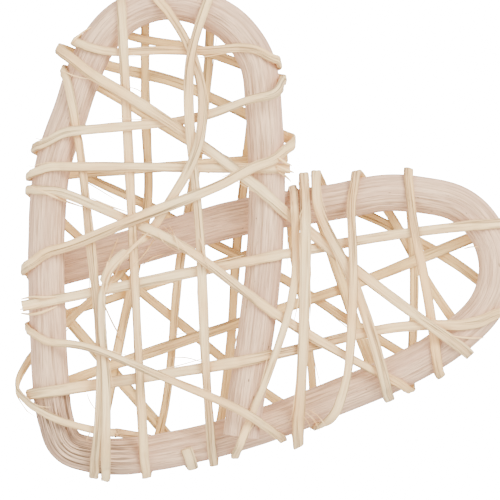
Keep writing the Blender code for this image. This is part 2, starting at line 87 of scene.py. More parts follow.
# Each strip: its width, the side and the point it starts from, and one entry for each
# pass, with a name and the points it goes through. The last point of a pass is the place
# on the outer edge where the strip folds round to the other side.
STRIPS = {
    "strip_broad_winding": (BROAD_STRIP, "front", (23, 306), (
        ("across_middle", (64, 298), (143, 282), (296, 252), (400, 234), (512, 222)),
        ("behind_rising", (412, 262), (345, 288), (309, 300), (239, 323), (140, 356), (31, 394)),
        ("across_low", (143, 377), (297, 349), (425, 325), (488, 319), (504, 304)),
        ("behind_upper_right", (456, 263), (409, 236), (360, 212), (330, 198), (316.5, 175.5)),
        ("slant_cleft", (317, 203), (327, 230), (346, 267), (389, 399)),
        ("tuck_cleft", (371, 362), (352, 312), (337, 268), (319, 212)),
    )),
    "strip_cleft": (BROAD_STRIP, "back", (305, 214), (
        ("tuck_cleft_top", (304.5, 176)),
        ("upright_cleft", (305, 214), (302, 363), (297, 446)),
        ("tuck_cleft_low", (296.5, 424.5)),
    )),
    "strip_side_lobe": (STRIP_WIDTH, "back", (435, 352), (
        ("tuck_lobe", (438, 373)),
        ("upright_lobe", (425, 282), (414, 225), (408, 171)),
        ("behind_lobe", (415, 280), (409, 387)),
        ("slant_long", (339, 352), (240, 288), (190, 251), (128, 220), (83, 200.5),
            (52, 190.5), (28, 190)),
        ("behind_falling", (139, 291), (191, 333), (222, 359), (267, 394.5), (318, 429.5)),
        ("bowed_upright", (333, 415), (341, 397), (346, 379), (350, 346), (352, 235),
            (352, 195), (357, 172)),
        ("behind_side_lobe", (388, 210), (425, 276), (460, 328)),
    )),
    "strip_upper_arch": (STRIP_WIDTH, "back", (258, 72), (
        ("tuck_top_right", (278, 66)),
        ("across_top", (270, 56), (258, 51), (209, 51.5), (150, 51.5), (100, 51.5), (73, 42)),
        ("behind_top", (100, 31), (134, 37), (184, 46), (240, 64), (285.5, 80)),
        ("across_second", (279, 91), (258, 99), (226, 109.5), (206, 116), (120, 127.5),
            (88, 130.5), (62, 134.5), (34, 149)),
        ("behind_slant", (89, 178), (160, 212), (207, 240), (280, 277), (346, 319), (424, 366)),
    )),
    "strip_crossing": (BROAD_STRIP, "back", (452, 338), (
        ("tuck_crossing", (469, 353)),
        ("long_diagonal", (352, 267), (222, 160), (107, 84), (78, 65), (62, 50)),
        ("behind_second", (110, 66), (184, 85), (208, 96), (242, 112), (290.5, 141)),
        ("slant_rising", (281, 156), (258, 166), (228, 181.5), (200, 194), (112, 229),
            (60, 249), (37, 258), (23, 271)),
        ("behind_left_low", (192, 461)),
        ("tuck_left_low", (186, 446)),
    )),
    "strip_left_edge": (STRIP_WIDTH, "front", (290, 169), (
        ("across_third", (180, 168), (90, 167), (60, 167), (40, 169), (28, 177)),
        ("behind_level", (288, 157)),
    )),
    "strip_left_upright": (STRIP_WIDTH, "back", (262, 178), (
        ("behind_third", (187, 140), (123, 101), (63, 68)),
        ("left_upright", (72, 100), (82, 160), (90, 232), (101, 346), (99, 430), (94, 476)),
        ("behind_upright", (117, 352), (128, 300), (142, 235), (148, 192), (147, 150), (146, -13)),
        ("curved_upright", (187, 43), (203, 110), (190, 168), (168, 205), (147, 236), (128, 252),
            (111, 268), (102.5, 300), (104.5, 350), (107, 385), (107, 430), (106, 477)),
        ("tuck_upright", (108, 456)),
    )),
    "strip_uprights": (STRIP_WIDTH, "back", (124, 18), (
        ("tuck_top", (123, -3)),
        ("second_upright", (127, 110), (134, 250), (143, 430), (146, 476)),
        ("behind_slope", (160, 429), (177, 284), (205, 105), (210, 31), (212, -8)),
        ("third_upright", (191, 60), (189, 100), (198.5, 214), (205, 346), (213, 464)),
        ("behind_right_slope", (223, 405), (230, 350), (237, 243), (243, 190), (250, 130), (255, 90)),
    )),
    "strip_low_slope": (NARROW_STRIP, "back", (260, 250), (
        ("behind_low", (25, 326)),
        ("low_slope", (34, 335), (67, 343), (128, 361), (199, 391), (250, 415), (284, 441)),
        ("tuck_low", (277, 428)),
    )),
    "strip_loose_loop": (NARROW_STRIP, "back", (166, 234), (
        ("behind_loop", (92, 299), (45, 342), (28, 361), (21, 383)),
        ("loose_loop", (24.5, 397), (35, 407), (52, 416), (96, 429), (140, 437), (158, 441)),
    )),
    "strip_right_upright": (NARROW_STRIP, "back", (233, 436), (
        ("tuck_right", (235, 456)),
        ("right_upright", (279.5, 341), (294.5, 280), (295, 225), (292.5, 183.5)),
        ("behind_right", (291, 225), (297, 271), (311, 360), (314, 402)),
    )),
}

# From the lowest to the highest where they cross, seen from the front
FRONT_ORDER = (
    "across_middle", "upright_lobe", "across_low", "across_top", "loose_loop",
    "left_upright", "slant_long", "second_upright", "across_second", "across_third",
    "long_diagonal", "curved_upright", "third_upright", "slant_rising", "right_upright",
    "upright_cleft", "slant_cleft", "bowed_upright", "low_slope",
)
# From the nearest to the farthest, behind the cane
BACK_ORDER = (
    "tuck_cleft", "tuck_lobe", "tuck_top_right", "tuck_crossing", "tuck_left_low",
    "tuck_cleft_top", "tuck_cleft_low", "tuck_upright", "tuck_top", "tuck_low", "tuck_right",
    "behind_rising", "behind_lobe", "behind_top", "behind_loop", "behind_level",
    "behind_third", "behind_upright", "behind_slant", "behind_slope",
    "behind_right_slope", "behind_falling", "behind_side_lobe", "behind_second",
    "behind_left_low", "behind_upper_right", "behind_right", "behind_low",
)
# Crossings that go against that order: (over, under)
WOVEN = {("slant_long", "third_upright"), ("slant_long", "curved_upright")}
# It starts in front and ends behind the bottom leg, from this share of its length on
ENDS_BEHIND = {"loose_loop"}
GOES_BEHIND = 0.72
# The curved and the third upright are twisted round each other: below this place in
# the drawing the curved one lies over the other
TWIST = {"over": "curved_upright", "under": "third_upright", "place": (195, 100)}

# %% Sizes that follow from them
CANE_RADIUS = CANE_DIAMETER / 2
STRIP_RADIUS = CANE_RADIUS + CLEARANCE + STRIP_THICKNESS / 2
LEVEL = CANE_DIAMETER + CLEARANCE
LEANING = 1.04
SEPARATION = STRIP_THICKNESS * LEANING + CLEARANCE

# How the strips are laid: tension is 1, and lengths are metres
CANE_STEP = 0.001
NO_BOUND = -1.0
CONTACT = 4.0e5
SPRINGY = 0.0016
ROUNDS = 40
STEPS_A_ROUND = 900
BALANCED = 1e-12
NOT_ZERO = 1e-30

# Where a strip folds round the cane: the shoulder is the quarter turn on the strip's own
# side, and it is measured in shares of the fold's reach out from the cane's centreline
FOLD_ANGLES = (20, 40, 60, 80)
NODE_ROOM = 0.4
STANDS_OFF = 0.001
SHOULDER_NEAR = 1.6
SHOULDER_INNER = -0.1
SHOULDER_OUTER = 0.96
SHOULDER_STEEP = 0.45
SHOULDER_FACING = 1.5

# %% [markdown]
# ## From the drawing to the heart
# A person bending a cane makes one smooth curve, so the drawn points are joined by a
# natural cubic spline, which bends as little as it can between them.

# %% Drawing helpers
def plan(point):
    """A point of the drawing in the heart's own frame, in metres."""
    x = (point[0] - DRAWING_CENTRE[0]) * UNIT
    y = (DRAWING_CENTRE[1] - point[1]) * UNIT
    c, s = math.cos(AXIS_TURN), math.sin(AXIS_TURN)
    return (x * c - y * s, x * s + y * c)


def pegs(bend, count):
    """Points along a round bend of the drawing."""
    cx, cy = bend["centre"]
    angles = np.radians(np.linspace(bend["start"], bend["end"], count))
    return [(cx + bend["radius"] * math.cos(a), cy - bend["radius"] * math.sin(a)) for a in angles]


def lengths(vectors):
    return np.linalg.norm(vectors, axis=-1)


def travelled(points):
    """How far it is along the points to each of them."""
    return np.concatenate([[0], np.cumsum(lengths(np.diff(points, axis=0)))])


def smooth(points, step):
    """A natural cubic spline through the points, read at about every step."""
    points = np.array(points, float)
    gaps = lengths(np.diff(points, axis=0))
    t = travelled(points)
    count = len(points)
    system, right = np.eye(count), np.zeros((count, points.shape[1]))
    for i in range(1, count - 1):
        before, after = gaps[i - 1], gaps[i]
        system[i, i - 1 : i + 2] = before, 2 * (before + after), after
        right[i] = 6 * ((points[i + 1] - points[i]) / after - (points[i] - points[i - 1]) / before)
    bends = np.linalg.solve(system, right)
    at = np.linspace(0, t[-1], max(2, round(t[-1] / step) + 1))
    i = np.clip(np.searchsorted(t, at, side="right") - 1, 0, count - 2)
    a = ((t[i + 1] - at) / gaps[i])[:, None]
    b = 1 - a
    h = gaps[i][:, None] ** 2 / 6
    return a * points[i] + b * points[i + 1] + h * ((a**3 - a) * bends[i] + (b**3 - b) * bends[i + 1])


def smoothstep(x):
    x = np.clip(x, 0, 1)
    return x * x * (3 - 2 * x)


def unit(vectors):
    return vectors / lengths(vectors)[:, None]


def directions(points):
    steps = unit(np.diff(points, axis=0))
    return unit(np.vstack([steps[:1], steps[:-1] + steps[1:], steps[-1:]]))


# %% The cane's centreline
def cane_line():
    """The cane's centreline, every millimetre, in metres."""
    before = [*RIGHT_LEG, *UPPER_LOBE, *LEFT_LEG]
    bend = pegs(POINT_BEND, BEND_PEGS)
    after = [*BOTTOM_LEG, *pegs(SIDE_LOBE, LOBE_PEGS), *UPPER_LEG]
    line = smooth([plan(p) for p in before + bend + after], CANE_STEP)
    start = np.argmin(lengths(line - plan(bend[0])))
    end = np.argmin(lengths(line - plan(BOTTOM_LEG[2])))
    fall = smoothstep((np.arange(len(line)) - start) / (end - start))
    return np.column_stack([line, LEVEL * (0.5 - fall)])


cane = cane_line()
print("cane:", len(cane), "mm long")

# %% [markdown]
# ## Pulling the strips tight
# Each run of a strip over the front or behind is a row of heights. Tension draws the row
# straight, and a stiff spring holds it off wherever it would sink into the cane or into
# another strip. The balance of all of them is found by conjugate gradients, which needs
# only a few arrays and no big matrix.

# %% One run of a strip
class Pass:
    """One run of a strip over the front or behind, between two folds."""

    def __init__(self, strip, name, side, width, points, folds, cane):
        self.strip, self.name, self.side, self.width = strip, name, side, width
        self.folds = folds
        ends = [np.array(plan(points[0])), np.array(plan(points[-1]))]
        self.anchor = [None, None]
        for k in (0, 1):
            if folds[k]:
                self.anchor[k] = fold_at(ends[k], cane)
                ends[k] = self.anchor[k]["point"][:2]
        route = [ends[0], *[np.array(plan(p)) for p in points[1:-1]], ends[1]]
        self.line = smooth(route, ROUTE_STEP / 3)
        self.along = travelled(self.line)
        self.length = self.along[-1]
        along = directions(self.line)
        self.across = np.column_stack([-along[:, 1], along[:, 0]])
        self.nodes = self.spread_nodes()
        self.place = self.at(self.nodes)

    def spread_nodes(self):
        nodes = list(np.linspace(0, self.length, max(3, round(self.length / ROUTE_STEP) + 1)))
        for k in (0, 1):
            if not self.folds[k]:
                continue
            anchor = self.anchor[k]
            own = []
            for angle in FOLD_ANGLES:
                reach = anchor["reach"] * math.cos(math.radians(angle))
                own.append(self.nearest_reach(k, anchor, reach))
            if k == 0:
                nodes = [s for s in nodes if s > max(own) + NODE_ROOM * ROUTE_STEP]
            else:
                nodes = [s for s in nodes if s < min(own) - NODE_ROOM * ROUTE_STEP]
            nodes += own + [0.0 if k == 0 else self.length]
        return np.array(sorted(nodes))

    def nearest_reach(self, k, anchor, reach):
        """How far along the pass its distance out from the folded cane falls to reach."""
        out = (self.line - anchor["centre"][:2]) @ anchor["out"]
        order = range(len(out)) if k == 0 else range(len(out) - 1, -1, -1)
        for i in order:
            if out[i] <= reach:
                j = i - 1 if k == 0 else i + 1
                f = (out[j] - reach) / (out[j] - out[i])
                return self.along[j] + f * (self.along[i] - self.along[j])
        return self.length / 2

    def at(self, s):
        return np.column_stack([np.interp(s, self.along, self.line[:, i]) for i in (0, 1)])


def fold_at(point, cane):
    """The place on the cane's outer edge where a strip folds round, nearest to a point."""
    gaps = lengths(cane[:, :2] - point)
    i = int(np.argmin(gaps))
    centre = cane[i]
    out = (point - centre[:2]) / gaps[i]
    reach = gaps[i] if gaps[i] > STRIP_RADIUS + STANDS_OFF else STRIP_RADIUS
    place = np.array([*(centre[:2] + out * reach), centre[2]])
    return {"point": place, "centre": centre, "out": out, "reach": reach}


def all_passes(cane):
    passes = []
    for strip, (width, first, start, legs) in STRIPS.items():
        side = 1 if first == "front" else -1
        for i, (name, *points) in enumerate(legs):
            folds = (i > 0, i < len(legs) - 1)
            passes.append(Pass(strip, name, side, width, [start, *points], folds, cane))
            start = points[-1]
            side = -side
    return passes


# %% What keeps the strips apart
def cane_bound(p, side, cane):
    """How high a pass must stay over the cane, or how low behind it, across its whole width."""
    bound = np.full(len(p.line), NO_BOUND)
    for offset in (-p.width / 2, 0, p.width / 2):
        place = p.line + p.across * offset
        flat = ((place[:, None, :] - cane[None, :, :2]) ** 2).sum(axis=2)
        room = STRIP_RADIUS**2 - flat
        over = np.where(room > 0, cane[None, :, 2] * side + np.sqrt(np.maximum(room, 0)), NO_BOUND)
        bound = np.maximum(bound, over.max(axis=1))
    return bound


class Rules:
    """Springs between heights: each holds a weighted sum of up to four of them at a value."""

    def __init__(self):
        self.nodes, self.weights, self.wanted, self.stiffness, self.contact = [], [], [], [], []

    def add(self, nodes, weights, wanted, stiffness, contact=False):
        spare = 4 - len(nodes)
        self.nodes.append([*nodes, *[0] * spare])
        self.weights.append([*weights, *[0.0] * spare])
        self.wanted.append(wanted)
        self.stiffness.append(stiffness)
        self.contact.append(contact)


def lay_strips(cane, passes):
    """Pulls every strip tight over the cane and over the strips beneath it.

    Each pass is a row of heights. Tension draws it straight, a little stiffness
    rounds it, and wherever two pieces would touch a stiff spring holds them apart.
    """
    start = np.cumsum([0] + [len(p.nodes) for p in passes])
    rules = Rules()
    fixed = {}
    for p, first in zip(passes, start):
        tension_rules(p, first, rules)
        cane_rules(p, first, cane, rules)
        for k, i in ((0, 0), (1, len(p.nodes) - 1)):
            if p.folds[k]:
                fixed[first + i] = p.anchor[k]["point"][2]
    for i, p in enumerate(passes):
        for j, q in enumerate(passes[:i]):
            crossing_rules(p, q, start[i], start[j], rules)
    return settle_heights(rules, fixed, start[-1]), start


def tension_rules(p, first, rules):
    """A strip is taut, and springy: it leaves each crossing in a soft curve."""
    gaps = np.diff(p.nodes)
    for i, gap in enumerate(gaps):
        rules.add([first + i, first + i + 1], [1, -1], 0, 1 / gap)
    for i in range(1, len(gaps)):
        before, after = gaps[i - 1], gaps[i]
        if min(before, after) > ROUTE_STEP / 2:
            nodes = [first + i - 1, first + i, first + i + 1]
            bend = [1 / before, -1 / before - 1 / after, 1 / after]
            rules.add(nodes, bend, 0, SPRINGY**2 * 2 / (before + after))


def cane_rules(p, first, cane, rules):
    """A strip stays outside the cane all along, also on the round shoulder by its fold."""
    bound = np.maximum(cane_bound(p, p.side, cane), fold_bound(p))
    side = np.full(len(bound), float(p.side))
    if p.name in ENDS_BEHIND:
        far = p.along > GOES_BEHIND * p.length
        bound[far] = cane_bound(p, -1, cane)[far]
        side[far] = -1
    for i in np.flatnonzero(bound > NO_BOUND):
        nodes, weights = between(p, p.along[i], first, side[i])
        rules.add(nodes, weights, bound[i], CONTACT, True)


def fold_bound(p):
    """Near its fold a strip keeps to a round shoulder, also where it stands off the cane."""
    bound = np.full(len(p.line), NO_BOUND)
    for k in (0, 1):
        if not p.folds[k]:
            continue
        anchor = p.anchor[k]
        rel = p.line - anchor["centre"][:2]
        out = rel @ anchor["out"]
        near = lengths(rel) < SHOULDER_NEAR * anchor["reach"]
        inside = out > SHOULDER_INNER * STRIP_RADIUS
        shoulder = near & inside & (out < SHOULDER_OUTER * anchor["reach"])
        rise = STRIP_RADIUS * np.sqrt(np.maximum(0, 1 - (out / anchor["reach"]) ** 2))
        high = p.side * anchor["centre"][2] + rise
        bound[shoulder] = np.maximum(bound[shoulder], high[shoulder])
    return bound


def goes_over(p, q, at):
    """True where pass p lies above pass q at a place."""
    if p.side != q.side:
        return p.side > q.side
    names = (p.name, q.name)
    if set(names) == {TWIST["over"], TWIST["under"]}:
        down = np.array([math.sin(AXIS_TURN), -math.cos(AXIS_TURN)])
        low = (at - np.array(plan(TWIST["place"]))) @ down
        return (low > 0) == (p.name == TWIST["over"])
    if names in WOVEN:
        return True
    if names[::-1] in WOVEN:
        return False
    if p.side > 0:
        return FRONT_ORDER.index(p.name) > FRONT_ORDER.index(q.name)
    return BACK_ORDER.index(p.name) < BACK_ORDER.index(q.name)


def crossing_rules(p, q, first_p, first_q, rules):
    """Keeps two passes apart wherever the width of one lies over the other's."""
    reach = (p.width + q.width) / 2 + CLEARANCE
    for one, other in ((p, q), (q, p)):
        if (one.line.min(axis=0) > other.line.max(axis=0) + reach).any():
            return
    near = lengths(p.line[:, None, :] - q.line[None, :, :]).min(axis=1) < reach
    for offset in (-p.width / 2, 0, p.width / 2):
        spots = p.line[near] + p.across[near] * offset
        along_p = p.along[near]
        apart = lengths(spots[:, None, :] - q.line[None, :, :])
        nearest = apart.argmin(axis=1)
        for spot, s, j, d in zip(spots, along_p, nearest, apart.min(axis=1)):
            if d > q.width / 2 + CLEARANCE or (on_shoulder(p, spot) and on_shoulder(q, spot)):
                continue
            sign = 1.0 if goes_over(p, q, spot) else -1.0
            nodes, weights = between(p, s, first_p, sign)
            more_nodes, more_weights = between(q, q.along[j], first_q, -sign)
            rules.add(nodes + more_nodes, weights + more_weights, SEPARATION, CONTACT, True)


def on_shoulder(p, spot):
    """True close to a fold, where the strip stands nearly upright."""
    for anchor in p.anchor:
        if anchor:
            gap = np.linalg.norm(spot - anchor["point"][:2])
            if gap < SHOULDER_STEEP * anchor["reach"]:
                return True
    return False


def between(p, s, first, sign):
    """The two nodes on either side of a place on a pass, with their shares."""
    i = int(np.clip(np.searchsorted(p.nodes, s) - 1, 0, len(p.nodes) - 2))
    share = (s - p.nodes[i]) / (p.nodes[i + 1] - p.nodes[i])
    return [first + i, first + i + 1], [sign * (1 - share), sign * share]


def settle_heights(rules, fixed, total):
    """The heights at which tension and contact balance, found by conjugate gradients."""
    nodes, weights = np.array(rules.nodes), np.array(rules.weights)
    wanted, stiffness = np.array(rules.wanted), np.array(rules.stiffness)
    contact = np.array(rules.contact)
    free = np.ones(total, bool)
    z = np.zeros(total)
    for i, value in fixed.items():
        free[i] = False
        z[i] = value

    def stretch(heights):
        return (weights * heights[nodes]).sum(axis=1)

    def spread(forces):
        return np.bincount(nodes.ravel(), (weights * forces[:, None]).ravel(), total) * free

    active = np.ones(len(wanted), bool)
    for _ in range(ROUNDS):
        strength = stiffness * active
        scale = np.bincount(nodes.ravel(), (weights**2 * strength[:, None]).ravel(), total) + 1
        rest = spread(strength * (wanted - stretch(z)))
        move = rest / scale
        size = rest @ move
        goal = BALANCED * size
        for _ in range(STEPS_A_ROUND):
            push = spread(strength * stretch(move))
            step = size / (move @ push + NOT_ZERO)
            z += step * move
            rest -= step * push
            eased = rest / scale
            size, last = rest @ eased, size
            if size < goal:
                break
            move = eased + size / last * move
        pressed = ~contact | (stretch(z) < wanted)
        changed = (pressed != active).sum()
        active = pressed
        if changed == 0:
            break
    return z


# %% Lay them
passes = all_passes(cane)
heights, first_node = lay_strips(cane, passes)
print("runs:", len(passes), "heights:", len(heights))

# %% [markdown]
# ## The way it lies
# The wound underside isn't flat, so the heart leans a little when it is put down. The
# CAD model worked that lean out; here it is repeated as the direction that ends up
# pointing up, and as the shift that follows. Everything is modelled in the heart's own
# frame and moved by this at the end.

# %% The lean and the shift
POINTS_UP = Vector((0.060592, -0.040589, 0.997337))
SHIFT = Vector((0.0041157, 0.0126541, 0.0129730))
RESTING = Matrix.Translation(SHIFT) @ POINTS_UP.rotation_difference((0, 0, 1)).to_matrix().to_4x4()


# %% [markdown]
# ## A sheet rolled into a tube
# A cane and a strip are both a long skin with a grain that runs along it. A Grid
# primitive is such a skin before it is rolled: its rows go along the route and its
# columns round it. Rolling it keeps a clean UV map, in metres, that the grain can
# follow. A curve with a bevel would be quicker, but its skin can't be frayed or creased.

# %% Rolling a grid
SEAM_GAP = 1e-7


def rolled_grid(name, rings, around, along):
    """A closed piece from rings of points; around and along are its UV map in metres."""
    rows, columns = rings.shape[:2]
    bpy.ops.object.select_all(action="DESELECT")
    bpy.ops.mesh.primitive_grid_add(x_subdivisions=columns - 1, y_subdivisions=rows - 1)
    piece = bpy.context.object
    piece.name = piece.data.name = name
    mesh = piece.data
    mesh.vertices.foreach_set("co", rings.reshape(-1))
    corner = np.empty(len(mesh.loops), np.int32)
    mesh.loops.foreach_get("vertex_index", corner)
    flat = np.stack([around[corner // columns, corner % columns], along[corner // columns]], axis=1)
    mesh.uv_layers.active.data.foreach_set("uv", flat.ravel())
    return piece


def closed(piece, angle):
    """Joins the seam, fills the two ends, turns the faces out and smooths them."""
    bpy.ops.object.mode_set(mode="EDIT")
    bpy.ops.mesh.select_all(action="SELECT")
    bpy.ops.mesh.remove_doubles(threshold=SEAM_GAP)
    bpy.ops.mesh.fill_holes(sides=0)
    bpy.ops.mesh.select_all(action="SELECT")
    bpy.ops.mesh.normals_make_consistent(inside=False)
    bpy.ops.object.mode_set(mode="OBJECT")
    bpy.ops.object.shade_smooth_by_angle(angle=math.radians(angle))
    piece.data.update()
    return piece


def painted(piece, name, values):
    """Stores one number for each point of the piece, for its material to read."""
    layer = piece.data.attributes.new(name, "FLOAT", "POINT")
    layer.data.foreach_set("value", np.ascontiguousarray(values, np.float32).ravel())


def wander(along, spacing, seed):
    """A smooth random line between -1 and 1, with a new value every spacing."""
    knots = np.random.default_rng(seed).uniform(-1, 1, int(along[-1] / spacing) + 3)
    place = along / spacing
    i = place.astype(int)
    share = smoothstep(place - i)
    return knots[i] * (1 - share) + knots[i + 1] * share


def wander_round(along, spacing, seed, columns):
    """A random line of its own for each column of a skin. The last column is the first."""
    lines = [wander(along, spacing, seed + c % (columns - 1)) for c in range(columns)]
    return np.stack(lines, axis=1)


def angles_round(columns):
    """The angles of a ring's columns, from its underside round to it again."""
    return np.radians(-90) + np.linspace(0, 2 * math.pi, columns)


def rings_along(line, across, up, wide, high):
    """A ring of points round each point of the line, from the widths and the heights."""
    sideways = wide[:, :, None] * across[:, None, :]
    return line[:, None, :] + sideways + high[:, :, None] * up[:, None, :]


# %% [markdown]
# ## Finishes
# Colour, grain and gloss come from nodes. The sums between them are written as Python
# expressions: a small class wraps a socket, and adding or multiplying it makes the Math
# node. Every other node comes from one method.

# %% Shader maths
class Value:
    """A node's output that can be used in sums."""

    def __init__(self, finish, socket):
        self.finish, self.socket = finish, socket

    def sum(self, operation, first, second):
        return self.finish.node("ShaderNodeMath", {"operation": operation}, {0: first, 1: second})

    def __add__(self, other):
        return self.sum("ADD", self, other)

    def __sub__(self, other):
        return self.sum("SUBTRACT", self, other)

    def __rsub__(self, other):
        return self.sum("SUBTRACT", other, self)

    def __mul__(self, other):
        return self.sum("MULTIPLY", self, other)

    __radd__ = __add__
    __rmul__ = __mul__


class Finish:
    """A material under construction."""

    def __init__(self, name):
        self.material = bpy.data.materials.new(name)
        self.material.use_nodes = True
        self.tree = self.material.node_tree
        self.shader = self.tree.nodes["Principled BSDF"]

    def node(self, kind, settings, sockets, output=0):
        made = self.tree.nodes.new(kind)
        for key, value in settings.items():
            setattr(made, key, value)
        for key, value in sockets.items():
            self.plug(made.inputs[key], value)
        return Value(self, made.outputs[output])

    def plug(self, socket, value):
        if isinstance(value, Value):
            self.tree.links.new(value.socket, socket)
        else:
            socket.default_value = value

    def set(self, **sockets):
        for key, value in sockets.items():
            self.plug(self.shader.inputs[key.replace("_", " ")], value)

    def skin(self, scale):
        """The piece's UV map in metres, times a scale for each direction."""
        flat = self.node("ShaderNodeTexCoord", {}, {}, "UV")
        return self.node("ShaderNodeMapping", {}, {"Vector": flat, "Scale": (*scale, 1)})

    def noise(self, vector, scale=1.0, detail=3.0, roughness=0.5):
        sockets = {"Vector": vector, "Scale": scale, "Detail": detail, "Roughness": roughness}
        return self.node("ShaderNodeTexNoise", {}, sockets, "Fac")

    def between(self, value, low, high):
        """The value's range from low to high, stretched from 0 to 1 and kept inside that."""
        sockets = {"Value": value, "From Min": low, "From Max": high}
        return self.node("ShaderNodeMapRange", {"clamp": True}, sockets)

    def mix(self, share, first, second):
        """A mix of two colours. The Mix node keeps those in sockets 6 and 7, and gives 2."""
        first = (*first, 1) if isinstance(first, tuple) else first
        second = (*second, 1) if isinstance(second, tuple) else second
        sockets = {0: share, 6: first, 7: second}
        return self.node("ShaderNodeMix", {"data_type": "RGBA"}, sockets, 2)

    def coated(self, colour, *coats):
        """A colour under coats of others, each with its share."""
        for share, coat in coats:
            colour = self.mix(share, colour, coat)
        return colour

    def painted(self, name):
        return self.node("ShaderNodeAttribute", {"attribute_name": name}, {}, "Fac")

    def bump(self, height, distance):
        sockets = {"Height": height, "Distance": distance, "Strength": 1.0}
        return self.node("ShaderNodeBump", {}, sockets)


# %% [markdown]
# ## The cane
# Peeled rattan is the plant's core: dull, pale, with fine straight pores that show as
# lines about half a millimetre apart. It is never quite round, and where it was bent
# sharply its fibres creased inside the bend and opened outside it.

# %% The cane's finish
# The grain's pattern in metres across and along, and the other patterns per metre
GRAIN_GAP = 0.00042
GRAIN_RUN = 0.016
CANE_PATCHES = (150, 40)
CANE_SPECKS = (1100, 420)
CANE_RELIEF = 0.0008
CANE_PALE = (0.96, 0.65, 0.40)
CANE_LINE = (0.34, 0.16, 0.07)
# Pink tone for the random patches, and painted shade on the cane's outer flank
CANE_PINK_AND_SHADE = (0.70, 0.41, 0.27)
CANE_SPECK = (0.20, 0.10, 0.05)


def cane_finish():
    finish = Finish("peeled cane")
    streaks = finish.noise(finish.skin((0.38 / GRAIN_GAP, 0.6 / GRAIN_RUN)), detail=2)
    lines = finish.noise(finish.skin((0.8 / GRAIN_GAP, 1 / GRAIN_RUN)), detail=3, roughness=0.6)
    threads = finish.noise(finish.skin((2.0 / GRAIN_GAP, 1.5 / GRAIN_RUN)), detail=2)
    patches = finish.noise(finish.skin(CANE_PATCHES), detail=3)
    specks = finish.noise(finish.skin(CANE_SPECKS), detail=1)
    cracks = finish.between(threads, 0.5, 0.66) * finish.painted("strain")
    colour = finish.coated(
        CANE_PALE,
        (finish.between(streaks, 0.46, 0.68) * 0.45, CANE_LINE),
        (finish.between(lines, 0.5, 0.62) * 0.5, CANE_LINE),
        (finish.between(threads, 0.56, 0.66) * 0.45, CANE_LINE),
        (finish.between(patches, 0.42, 0.72) * 0.5, CANE_PINK_AND_SHADE),
        # Painted shade: the cane's outer flank is darkened and made pinker
        (finish.painted("outer") * 0.5, CANE_PINK_AND_SHADE),
        (cracks * 0.85, CANE_LINE),
        (finish.between(specks, 0.74, 0.78) * 0.85, CANE_SPECK),
    )
    finish.set(Base_Color=colour, Roughness=0.62 + 0.2 * lines)
    relief = (1 - lines) + streaks * -0.8 + threads * 0.4 + cracks * -1.6
    finish.set(Normal=finish.bump(relief, CANE_RELIEF))
    return finish.material


# %% The cane's skin
CANE_COLUMNS = 61
CANE_ROW = 0.0007
BEND_REACH = 0.010
# How far it is from round: the lobes, their height, and how often they change
CANE_LOBES = ((2, 0.00014, 0.05), (3, 0.00008, 0.03), (7, 0.00004, 0.02), (13, 0.00003, 0.012))
CANE_WAVER = 0.00007
CANE_RIDGES = 0.000018
# At the sharp bend: the fibres that open, and the crease inside it
OPENED = 0.00022
CREASED = 0.0006


def near_bend(line):
    """1 at the sharp bend and 0 away from it."""
    centre = np.array(plan(POINT_BEND["centre"]))
    bend = POINT_BEND["radius"] * UNIT
    gap = lengths(line[:, :2] - centre) - bend
    return 1 - smoothstep(gap / BEND_REACH)


def cane_skin():
    rows = round((len(cane) - 1) * CANE_STEP / CANE_ROW) + 1
    at = np.linspace(0, len(cane) - 1, rows)
    line = np.stack([np.interp(at, np.arange(len(cane)), cane[:, i]) for i in range(3)], axis=1)
    run = at * CANE_STEP
    along = directions(line)
    across = unit(np.cross(along, (0, 0, 1)))
    up = np.cross(across, along)
    angles = angles_round(CANE_COLUMNS)
    strain = near_bend(line)
    radius = np.full((rows, CANE_COLUMNS), CANE_RADIUS)
    for lobes, size, spacing in CANE_LOBES:
        turn = 2.0 * wander(run, spacing, lobes)
        swell = 0.6 + 0.4 * wander(run, spacing, lobes + 50)
        radius += size * (swell[:, None] * np.cos(lobes * angles[None, :] + turn[:, None]))
    radius += (CANE_WAVER * wander(run, 0.006, 3))[:, None]
    ridge = np.random.default_rng(9).uniform(-1, 1, CANE_COLUMNS)
    ridge[-1] = ridge[0]
    drift = wander_round(run, 0.004, 200, CANE_COLUMNS)
    radius += CANE_RIDGES * ridge[None, :] + strain[:, None] * OPENED * drift
    inner = np.clip(-np.cos(angles), 0, 1)
    radius -= strain[:, None] ** 2 * CREASED * inner[None, :] * (0.6 + 0.4 * drift)
    rings = rings_along(line, across, up, radius * np.cos(angles), radius * np.sin(angles))
    around = np.tile(np.linspace(0, 2 * math.pi * CANE_RADIUS, CANE_COLUMNS), (rows, 1))
    piece = rolled_grid("cane", rings, around, run)
    # Where the painted shade goes: the cane's outer flank
    painted(piece, "outer", np.tile(np.clip(np.cos(angles), 0, 1) ** 3, (rows, 1)))
    painted(piece, "strain", np.repeat(strain, CANE_COLUMNS))
    return closed(piece, 50)


cane_piece = cane_skin()
cane_piece.data.materials.append(cane_finish())
print("cane faces:", len(cane_piece.data.polygons))

# %% [markdown]
# ## The strips
# Flat strip is split and shaved from the core, so it has rounded edges, a lengthwise
# grain, and a width that wanders by a tenth. It twists a little between crossings and
# lies flat wherever it meets the cane. The runs behind are painted lighter and warmer,
# a painted glow for the light that comes through the thin strip from behind.

# %% The strips' finish
# The patterns per metre, across and along
STRIP_FIBRES = (2300, 50)
STRIP_SPLITS = (1050, 24)
STRIP_PATCHES = (90, 55)
STRIP_RELIEF = 0.0006
STRIP_CREAM = (0.95, 0.58, 0.23)
# Dark grain lines and splits, and also painted shade on the strips' rounded edges
STRIP_GRAIN_AND_SHADE = (0.64, 0.37, 0.16)
STRIP_WHITE = (0.99, 0.73, 0.37)
# Painted glow: the runs behind are mixed towards this lighter, warmer colour, in place of light
# coming through the strip from behind
STRIP_PAINTED_GLOW = (1.0, 0.69, 0.25)


